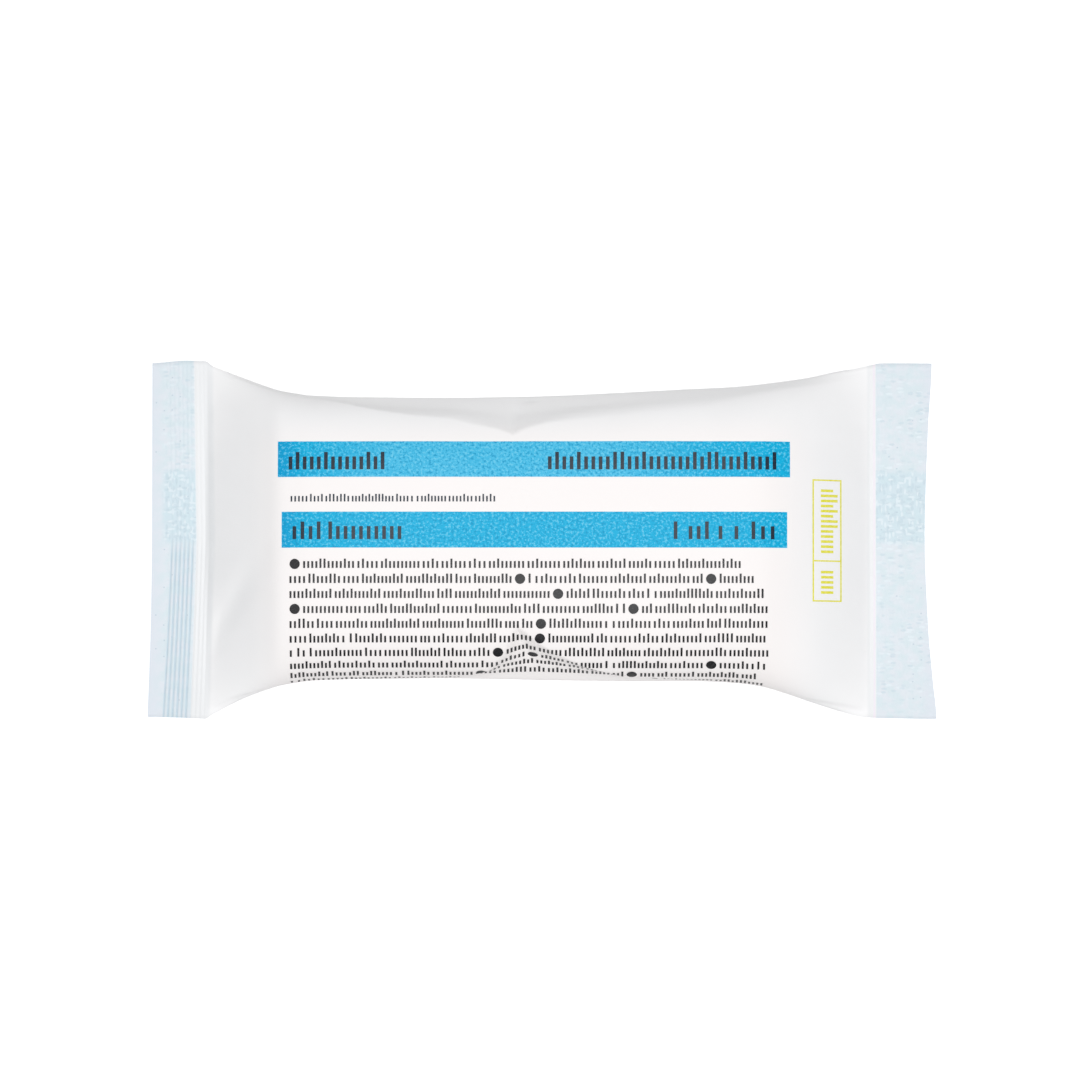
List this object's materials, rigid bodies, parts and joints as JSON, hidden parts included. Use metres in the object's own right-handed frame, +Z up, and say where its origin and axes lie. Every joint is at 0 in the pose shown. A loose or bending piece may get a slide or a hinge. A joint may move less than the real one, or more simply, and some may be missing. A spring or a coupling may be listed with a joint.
{
  "type": "first-aid bandage in a sealed paper wrapper",
  "caption": "Flat-wound elastic bandage and folded compress sealed in a pillow-shaped paper wrapper with crimped ends and a folded back seam.",
  "frame": {"origin": "under the middle of the pack, on the surface that it lies on", "axes": "+X along the pack towards the longer sloping shoulder, +Y across it towards the side the back seam is folded to, +Z up out of the printed front"},
  "size_m": [0.1, 0.0456, 0.0164],
  "materials": {
    "sealing_paper": "smooth white sealing paper, pale blue at the crimped ends, with printed bands",
    "elastic_gauze": "open elastic cotton gauze, matt",
    "absorbent_fleece": "soft white non-woven fleece, matt"
  },
  "bodies": {
    "root": {"wrapper": "sealing_paper", "bandage_roll": "elastic_gauze", "wound_pad": "absorbent_fleece"}
  },
  "joints": []
}
